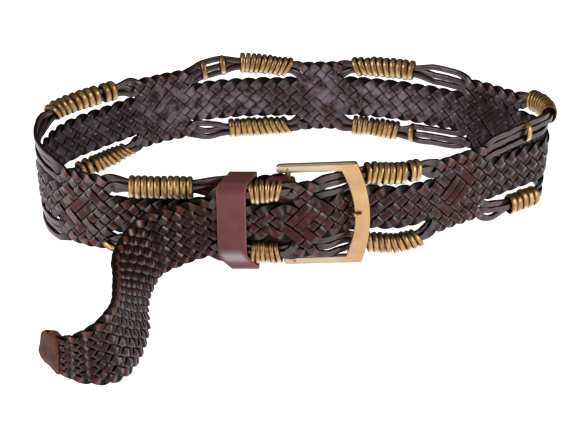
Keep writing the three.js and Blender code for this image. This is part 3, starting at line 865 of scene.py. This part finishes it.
def add_ring(mesh, name, side, along, lean, half_width):
    """Adds one ring to a bmesh, round a bundle at a length along the strap, leaning by some degrees."""
    vertex_count = len(mesh.verts)
    painted_shade_and_dirt, toned, wear_and_sheen = layers(mesh, "painted_shade_and_dirt", "tone", "wear_and_sheen")
    spun(mesh, [(1 + wire_share * x, 0, z) for x, z in unit_circle(10)], ring_steps)
    mesh.verts.ensure_lookup_table()
    further = along + look_ahead
    middle = on_belt(along, bundle_height_at(name, side, along), 0)
    ahead = on_belt(further, bundle_height_at(name, side, further), 0)
    outward = belt_frame(along)[1]
    axis = (ahead - middle).normalized()
    across = outward.cross(axis).normalized()
    leaning = Matrix.Rotation(math.radians(lean + chance.uniform(-3, 3)), 3, outward)
    turn = Matrix.Rotation(math.radians(chance.uniform(-4, 4)), 3, across)
    axis = turn @ leaning @ axis
    across = leaning @ across
    outward = across.cross(axis)
    half_across = bundle_width / 2 + ring_gap + ring_half_thickness
    half_across += chance.uniform(-ring_stray, 1.2 * ring_stray)
    half_out = bundle_thickness / 2 + ring_half_thickness
    half_out += chance.uniform(-0.4 * ring_stray, 0.4 * ring_stray)
    middle += across * chance.uniform(-ring_stray, ring_stray)
    middle.z = max(middle.z, half_across + ring_half_thickness)
    tone = chance.uniform(-1, 1)
    for vertex in mesh.verts[vertex_count:]:
        x, y, z = vertex.co
        radius = math.hypot(x, y)
        grown = (radius - 1) / wire_share * ring_half_thickness
        round_x, round_y = x / radius, y / radius
        corner = abs(round_x) ** ring_squareness + abs(round_y) ** ring_squareness
        corner **= -1 / ring_squareness
        place = across * round_x * (half_across * corner + grown)
        place += outward * round_y * (half_out * corner + grown)
        vertex.co = middle + place + axis * z * half_width
        # Painted shade: the inside against the bundle, the ends where neighbours meet and the upper end.
        hidden = 1.0 if grown < -0.3 * ring_half_thickness else 0.0
        gap = ramp(abs(z), 0.72, 0.96)
        upper_end = 0.7 * ramp(-round_x, 0.7, 0.95)
        vertex[painted_shade_and_dirt] = ring_darkest * max(gap, upper_end, hidden)
        # A painted reflection pales the lower end.
        vertex[wear_and_sheen] = ramp(round_x, 0.15, 0.8)
        vertex[toned] = tone


for (name, side), (count, start_lean, end_lean, apart) in ring_rows.items():
    along, wrap_end = (bundle_heights[name, side][i][0] for i in (1, 2))
    pitch = (wrap_end - along) / (count + 0.5 * len(apart))
    mesh = new_mesh_with_masks()
    for ring in range(count):
        along += pitch * (0.5 if ring in apart else 0)
        lean = blend(start_lean, end_lean, ring / (count - 1))
        half_width = ring_share * pitch * math.cos(math.radians(lean)) * chance.uniform(0.94, 1.0)
        add_ring(mesh, name, side, along + pitch / 2, lean, half_width)
        along += pitch
    finished_piece(f"rings_{name}_{side}", mesh, ring_brass, f"wrap_{name}_{side}")
for number in range(1, 7):
    mesh = new_mesh_with_masks()
    for lone_ring, name, side, share, lean, half_width in loose_rings:
        if lone_ring == number:
            add_ring(mesh, name, side, share * strap_length, lean, half_width)
    finished_piece(f"lone_ring_{number}", mesh, ring_brass, f"loose_ring_{number}")


# The keeper. A strap of smooth brown leather, bent into a loop round both layers of the belt and glued shut
# at the back. Its cut side edges are raw and redder, and its corners are soft.
keeper_brown = (0.135, 0.036, 0.031)
keeper_shade = (0.085, 0.023, 0.020)
keeper_raw = (0.26, 0.10, 0.07)
keeper_leather, tree, inputs, place = new_material("keeper_leather")
grain = leather_grain(place, 0.7)
mottle = spread_out(grain["Mottle"], 0.3, 0.75)
raw = times(mask(tree, "raw_edge"), spread_out(grain["Fibre"], 0.2, 0.6))
keeper_looks = {
    "Base Color": mixed(raw, mixed(mottle, keeper_shade, keeper_brown), keeper_raw),
    "Roughness": plus(spread_out(mottle, 0.0, 1.0, 0.38, 0.5), times(raw, 0.3)),
    "Specular IOR Level": 0.25,
    "Coat Weight": mask(tree, "bend"),
    "Coat IOR": 2.8,
    "Coat Roughness": 0.24,
    "Normal": bumped(plus(times(grain["Pores"], 0.3), mottle), 0.00008, 0.5),
}
dress(inputs, keeper_looks)

keeper_corners = (
    # round in y and in z: back top, front top, front bottom, back bottom
    (0.0022, 0.0022),
    (0.0030, 0.0040),
    (0.0048, 0.0105),
    (0.0022, 0.0022),
)
front_rows = 16
keeper_inset = 0.0010
keeper_pull = 0.0062
keeper_edge = 0.0005
keeper_swell = 0.0004
keeper_sheen = 0.9
crease_height = 0.2
crease_reach = 0.09


def add_loop(mesh, low, high, grow):
    """Adds a rounded rectangular loop's outline in y and z, moved out by grow, and returns its edges."""
    steps = 8
    points = []
    for quarter, (corner_y, corner_z) in enumerate(keeper_corners):
        centre_y = low.y + corner_y if quarter in (1, 2) else high.y - corner_y
        centre_z = low.z + corner_z if quarter in (2, 3) else high.z - corner_z
        for step in range(steps + 1):
            angle = math.radians(90 * (quarter + step / steps))
            y = centre_y + (corner_y + grow) * math.cos(angle)
            points.append((y, centre_z + (corner_z + grow) * math.sin(angle)))
        if quarter == 1:
            front_y, front_top = points[-1]
            front_bottom = low.z + keeper_corners[2][1]
            for step in range(1, front_rows):
                points.append((front_y, blend(front_top, front_bottom, step / front_rows)))
    return outline(mesh, [(0, y, z) for y, z in points])[1]


keeper_low, keeper_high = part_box("keeper")
inside_low = keeper_low + Vector((0, keeper_wall, keeper_wall))
inside_high = keeper_high - Vector((0, keeper_wall, keeper_wall))
mesh = new_mesh_with_masks()
inside = add_loop(mesh, inside_low, inside_high, 0)
outside = add_loop(mesh, inside_low, inside_high, keeper_wall)
bmesh.ops.bridge_loops(mesh, edges=inside + outside)
pulled(mesh, bmesh.ops.extrude_face_region(mesh, geom=list(mesh.faces)), (keeper_width, 0, 0))
bmesh.ops.recalc_face_normals(mesh, faces=mesh.faces)
raw_edge, bend = layers(mesh, "raw_edge", "bend")
rims = [
    edge
    for edge in mesh.edges
    if len(edge.link_faces) == 2 and {abs(round(face.normal.x)) for face in edge.link_faces} == {0, 1}
]
rounded(mesh, rims, keeper_edge, 3)
walls = [edge for edge in mesh.edges if abs(edge.verts[0].co.x - edge.verts[1].co.x) > keeper_width / 2]
bmesh.ops.subdivide_edges(mesh, edges=walls, cuts=5, use_grid_fill=True)
keeper_depth = keeper_high.y - keeper_low.y
for vertex in mesh.verts:
    edge_way = min(vertex.co.x, keeper_width - vertex.co.x)
    vertex[raw_edge] = 1 - ramp(edge_way, 0.0001, 0.0006)
    front = ramp(keeper_high.y - vertex.co.y, 0, keeper_depth)
    height = (vertex.co.z - keeper_low.z) / (keeper_high.z - keeper_low.z)
    swell = math.sin(math.pi * held(height, 0.0, 1.0)) * keeper_swell
    vertex.co.y -= swell * (1 if front > 0.5 else -1)
    depth = (vertex.co.y - keeper_low.y) / keeper_depth
    on_front = 1 - ramp(depth, 0.1, 0.4)
    creased = ramp(crease_reach - abs(height - crease_height), 0, 0.08)
    vertex[bend] = keeper_sheen * on_front * creased * ramp(edge_way, 0.0003, 0.003)
    turned = max(ramp(depth, -0.05, 0.75), 1.15 * ramp(0.26 - height, 0, 0.26))
    vertex.co.x += keeper_low.x + keeper_inset + keeper_pull * turned
finished_piece("keeper_loop", mesh, keeper_leather, "keeper")


# The start of the strap. The strips' ends are held in a fold of smooth leather that goes round the heel bar,
# with a slot in its middle for the prong.
fold_leather = 0.002
fold_reach = 0.011
fold_edge = 0.0006
buckle_turn = Matrix.Rotation(math.radians(-4), 4, "Y") @ Matrix.Rotation(math.radians(-3), 4, "Z")
buckle_place = Matrix.Translation(heel_bar_middle) @ buckle_turn
prong_width = 0.004
mesh = new_mesh_with_masks()
hole = heel_bar_diameter / 2 + fit_gap
fold_radius = hole + fold_leather
fold_height = (crossing_width - 2 * fold_leather - prong_width - 4 * fit_gap) / 2
for sign in (1, -1):
    section = []
    for step in range(13):
        angle = math.radians(90 - 15 * step)
        section.append((math.cos(angle) * fold_radius, math.sin(angle) * fold_radius))
    section.append((-fold_reach, -hole - 0.3 * fold_leather))
    section.append((-fold_reach, fold_radius))
    circle = outline(mesh, [(x, y, sign * (prong_width / 2 + 2 * fit_gap)) for x, y in section])[0]
    face = bmesh.ops.contextual_create(mesh, geom=circle)["faces"]
    pulled(mesh, bmesh.ops.extrude_face_region(mesh, geom=face), (0, 0, sign * fold_height))
bmesh.ops.recalc_face_normals(mesh, faces=mesh.faces)
corners = [edge for edge in mesh.edges if edge.calc_face_angle(0) > math.radians(40)]
rounded(mesh, corners, fold_edge, 2)
finished_piece("start_fold", mesh, keeper_leather, "braided_strap", buckle_place)


# The tip tab. A strip of dry, rough leather folded over the tail's end and glued. It is a little twisted,
# narrower at its tip, and its cut edges are frayed.
tab_wall = 0.0017
tab_width = 0.020
tail_end_thickness = 0.0027
tab_taper = 0.34
tab_fray = 0.00035
tab_wave = 0.0008
tab_curl = 0.0009
tab_dark = (0.016, 0.007, 0.005)
tab_red = (0.085, 0.030, 0.020)
tab_leather, tree, inputs, place = new_material("rough_tab_leather")
grain = leather_grain(place, 1.0)
fibre = spread_out(grain["Fibre"], 0.3, 0.7)
mottle = spread_out(grain["Mottle"], 0.35, 0.65)
worn_way = plus(times(mottle, 0.7), times(fibre, 0.3))
colour = mixed(worn_way, tab_dark, tab_red)
tab_looks = {
    "Base Color": mixed(times(mask(tree, "raw_edge"), fibre), colour, strip_raw),
    "Roughness": 0.72,
    "Specular IOR Level": 0.2,
    "Normal": bumped(plus(fibre, mottle), 0.0003, 0.8),
}
dress(inputs, tab_looks)

tab_section = [(-0.5, 0.35), (-0.46, 0.5), (-0.2, 0.52), (0.2, 0.52), (0.46, 0.5), (0.5, 0.35)]
tab_section += [(-across, -out) for across, out in tab_section]
mesh = new_mesh_with_masks()
tab_rings = 18
vertices = straight_strip(mesh, tab_section, tab_rings)
[raw_edge] = layers(mesh, "raw_edge")
for vertex in vertices:
    share = vertex.co.z / tab_rings
    along = strap_length - tab_length * (1 - share)
    end = math.sqrt(max(1 - max((share - 0.86) / 0.16, 0) ** 2, 0.05))
    thickness = (tail_end_thickness + 2 * fit_gap + 2 * tab_wall) * end
    raw = max(ramp(abs(vertex.co.x), 0.4, 0.5), ramp(0.06 - share, 0, 0.05))
    width = tab_width * (1 - tab_taper * ramp(share, 0.35, 1.0)) * (1 + 0.04 * math.sin(along * 700))
    width += tab_fray * math.sin(along * 2300) * raw
    lifted = 0.3 * (tab_width - width) + tab_wave * math.sin(along * 420)
    curl = tab_curl * math.sin(vertex.co.x * 5 + share * 3)
    vertex[raw_edge] = raw
    vertex.co = on_belt(along, vertex.co.x * width + lifted, vertex.co.y * thickness + curl)
finished_piece("tail_tab", mesh, tab_leather, "tip_tab")


# The buckle. A flat frame of cast brass with a satin, lightly worn lacquer: two arms, a bowed front bar, a
# heel bar pinned between the arms and a prong that turns on it. Its edges are rounded and catch the light.
buckle_reach = 0.043
buckle_bow = 0.0055
arm_depth = 0.0048
bar_width = 0.0083
frame_thickness = 0.0034
frame_corner = 0.002
arm_overhang = 0.0022
prong_thickness = 0.0026
prong_eye_wall = 0.0014
eye_across = 0.525 * prong_eye_wall
eye_height = 1.275 * prong_eye_wall
prong_rise = 0.0026
prong_tip_share = 0.6

buckle_warm = (0.41, 0.23, 0.10)
buckle_pale = (0.52, 0.35, 0.175)
buckle_lemon = (0.49, 0.42, 0.30)
buckle_worn = (0.42, 0.24, 0.10)
buckle_brass, tree, inputs, place = new_material("satin_buckle_brass")
cloud = spread_out(noise(place, 70, 3.0), 0.32, 0.7)
brushed = tree.nodes.new("ShaderNodeMapping")
brushed.inputs["Scale"].default_value = (1.0, 1.0, 0.12)
tree.links.new(place, brushed.inputs["Vector"])
hairlines = noise(brushed.outputs["Vector"], 1800, 2.0)
specks = spread_out(noise(place, 900, 3.0), 0.6, 0.75)
colour = mixed(cloud, buckle_warm, buckle_pale)
# The arms are paler and yellower than the front bar.
colour = mixed(times(mask(tree, "wear_and_sheen"), 0.8), colour, buckle_lemon)
buckle_looks = {
    "Base Color": mixed(times(specks, 0.35), colour, buckle_worn),
    "Metallic": 1.0,
    "Roughness": spread_out(hairlines, 0.3, 0.7, 0.3, 0.42),
    "Normal": bumped(plus(hairlines, cloud), 0.00003, 0.4),
}
dress(inputs, buckle_looks)

# The frame's outer and inner edges, paired ring by ring from the top arm's end round to the bottom arm's.
half = buckle_height / 2
inner_half = half - arm_depth
arm_end = -(heel_bar_diameter / 2 + arm_overhang + arm_depth / 2)
corner = buckle_reach - buckle_bow
outer_bow = (buckle_bow * 2 - frame_corner / 4) / 2
inner_bow = (buckle_bow * 2 + 0.06 * bar_width) / 2
frame_edge = 0.0007
corner_slide = 0.0003
quarter = []
for x_share in (0.0, 0.004, 0.015, 0.04, 0.08, 0.3, 0.55, 0.8, 0.97):
    x = arm_end + (corner - bar_width - arm_end) * x_share
    arm_round = arm_depth / 2 * math.sqrt(max(1 - max(1 - (x - arm_end) / (arm_depth / 2), 0) ** 2, 0.02))
    middle_z = half - arm_depth / 2
    quarter.append(((x, middle_z + arm_round), (x, middle_z - arm_round)))
for step in range(5):
    angle = math.radians(90 - 22.5 * step)
    centre_x = corner - frame_corner * 0.75
    outer_edge = (centre_x + frame_corner * math.cos(angle), half - frame_corner * (1 - math.sin(angle)))
    slide = (step - 2) * corner_slide
    inner_edge = (corner - bar_width + min(slide, 0), inner_half - max(slide, 0))
    quarter.append((outer_edge, inner_edge))
for step in range(1, 9):
    share = 1 - step / 8
    outer_z = (half - frame_corner) * share
    inner_z = (inner_half - 2 * corner_slide) * share
    outer_edge = (corner + frame_corner / 4 + outer_bow * (1 - share * share), outer_z)
    inner_edge = (corner - bar_width + inner_bow * (1 - share * share), inner_z)
    quarter.append((outer_edge, inner_edge))
frame_rings = quarter + [((a[0], -a[1]), (b[0], -b[1])) for a, b in reversed(quarter[:-1])]

# Its section: a rectangle with small round corners, in units that keep the corners apart from the sides.
corner_share = 0.1
frame_section = []
for first, side_across, side_out in ((0, 1, 1), (90, -1, 1), (180, -1, -1), (270, 1, -1)):
    for step in range(4):
        angle = math.radians(first + 30 * step)
        across = side_across + corner_share * math.cos(angle)
        frame_section.append((across, side_out + corner_share * math.sin(angle)))

mesh = new_mesh_with_masks()
vertices = straight_strip(mesh, frame_section, len(frame_rings) - 1)
[wear_and_sheen] = layers(mesh, "wear_and_sheen")
for vertex in vertices:
    outer_edge, inner_edge = (Vector((x, 0, z)) for x, z in frame_rings[round(vertex.co.z)])
    way = outer_edge - inner_edge
    wide = way.length
    edge = min(frame_edge, 0.45 * wide)
    side_across, side_out = round(vertex.co.x), round(vertex.co.y)
    across = side_across * (wide / 2 - edge) + (vertex.co.x - side_across) / corner_share * edge
    out = side_out * (frame_thickness / 2 - edge) + (vertex.co.y - side_out) / corner_share * edge
    vertex.co = (outer_edge + inner_edge) / 2 + way / wide * across + Vector((0, -out, 0))
    vertex[wear_and_sheen] = 1 - ramp(vertex.co.x, corner - 2 * bar_width, corner - bar_width / 2)
finished_piece("buckle_body", mesh, buckle_brass, "buckle_frame", buckle_place)

# The heel bar's riveted ends show as two small dark dots on the arms.
pin_head_radius = 0.0009
mesh = new_mesh_with_masks()
for sign in (1, -1):
    head = bmesh.ops.create_uvsphere(mesh, u_segments=16, v_segments=8, radius=pin_head_radius)["verts"]
    bmesh.ops.scale(mesh, vec=(1, 0.3, 1), verts=head)
    bmesh.ops.translate(mesh, verts=head, vec=(0, -frame_thickness / 2, sign * (half - arm_depth / 2)))
finished_piece("pin_heads", mesh, ring_brass, None, buckle_place)

heel_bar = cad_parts["heel_bar"]
heel_bar.data.materials.clear()
heel_bar.data.materials.append(buckle_brass)

# The prong runs back behind the strap, comes up through it and rests on the front bar with its tapered tip.
tip_out = frame_thickness / 2 + prong_tip_share * prong_thickness / 2 + fit_gap
prong_course = (
    # share of the buckle's reach, depth behind the frame's middle
    ((hole + 0.7 * prong_eye_wall) / buckle_reach, 0.2 * prong_rise),
    (0.25, 0.85 * prong_rise),
    (0.55, 1.6 * prong_rise),
    (0.70, 2.3 * prong_rise),
    (0.76, 1.9 * prong_rise),
    (0.785, 0.5 * prong_rise),
    (0.80, -0.5 * tip_out),
    (0.825, -tip_out),
    (0.90, -tip_out),
)
prong_points = [Vector((share * buckle_reach, depth, 0)) for share, depth in prong_course]
prong_line = smooth_curve(prong_points, 6)
mesh = new_mesh_with_masks()
prong_section = []
for step in range(16):
    angle = math.radians(22.5 * step + 11.25)
    flatness = (abs(math.cos(angle)) ** 4 + abs(math.sin(angle)) ** 4) ** -0.25 / 2
    prong_section.append((flatness * math.cos(angle), flatness * math.sin(angle)))
vertices = straight_strip(mesh, prong_section, len(prong_line) - 1)
prong_places = []
looks = (1, 0, 0, 0, 0)
for point in prong_line:
    taper = blend(1, prong_tip_share, ramp(point.x / buckle_reach, 0.6, 0.8))
    prong_places.append((point, Vector((0, -1, 0)), prong_width * taper, prong_thickness * taper, *looks))
bend_strip(mesh, vertices, prong_places, 0.0)
eye_middle = hole + prong_eye_wall / 2
spun(mesh, [(eye_middle + eye_across * x, 0, eye_height * z) for x, z in unit_circle(12)], 24)
finished_piece("prong_bar", mesh, buckle_brass, "prong", buckle_place)


# The floor, the light and the camera. A pale table that glows a little, as in a light tent, with a weak light
# overhead and one at each side. The camera looks from in front and above, as in the photograph.
floor_mesh = bmesh.new()
bmesh.ops.create_grid(floor_mesh, x_segments=1, y_segments=1, size=4)
floor_data = bpy.data.meshes.new("floor")
floor_mesh.to_mesh(floor_data)
floor_mesh.free()
floor = bpy.data.objects.new("floor", floor_data)
bpy.context.scene.collection.objects.link(floor)
floor_material, tree, inputs, place = new_material("pale_floor")
floor_looks = {
    "Base Color": (0.9, 0.9, 0.9),
    "Roughness": 0.85,
    "Emission Color": (0.92, 0.90, 1.0),
    "Emission Strength": 1.05,
}
dress(inputs, floor_looks)
floor_data.materials.append(floor_material)

room = bpy.data.worlds.new("room")
room.use_nodes = True
dress(room.node_tree.nodes["Background"].inputs, {"Color": (1, 1, 1), "Strength": 0.06})
bpy.context.scene.world = room


def soft_light(name, place, aim, size, power):
    """A square area light that points at a place."""
    data = bpy.data.lights.new(name, "AREA")
    data.shape = "SQUARE"
    data.size = size
    data.energy = power
    light = bpy.data.objects.new(name, data)
    light.location = place
    light.rotation_euler = (aim - place).to_track_quat("-Z", "Y").to_euler()
    bpy.context.scene.collection.objects.link(light)


aim = Vector((0, 0, 0.03))
soft_light("overhead", Vector((-0.1, 0.35, 1.5)), aim, 1.6, 9)
soft_light("left", Vector((-0.8, -0.5, 0.3)), aim, 0.8, 10)
soft_light("right", Vector((0.8, -0.5, 0.3)), aim, 0.6, 6)
bpy.context.scene.view_settings.view_transform = "Standard"

camera_target = course_origin + Vector((0, 0, belt_height / 2))
camera_distance = 0.706
camera_elevation = math.radians(32)
camera_data = bpy.data.cameras.new("camera")
camera_data.lens = 80
camera_data.sensor_width = 36
camera = bpy.data.objects.new("camera", camera_data)
camera_way = Vector((0, -math.cos(camera_elevation), math.sin(camera_elevation)))
camera.location = camera_target + camera_distance * camera_way
camera.rotation_euler = (math.radians(90) - camera_elevation, 0, 0)
bpy.context.scene.collection.objects.link(camera)
bpy.context.scene.camera = camera
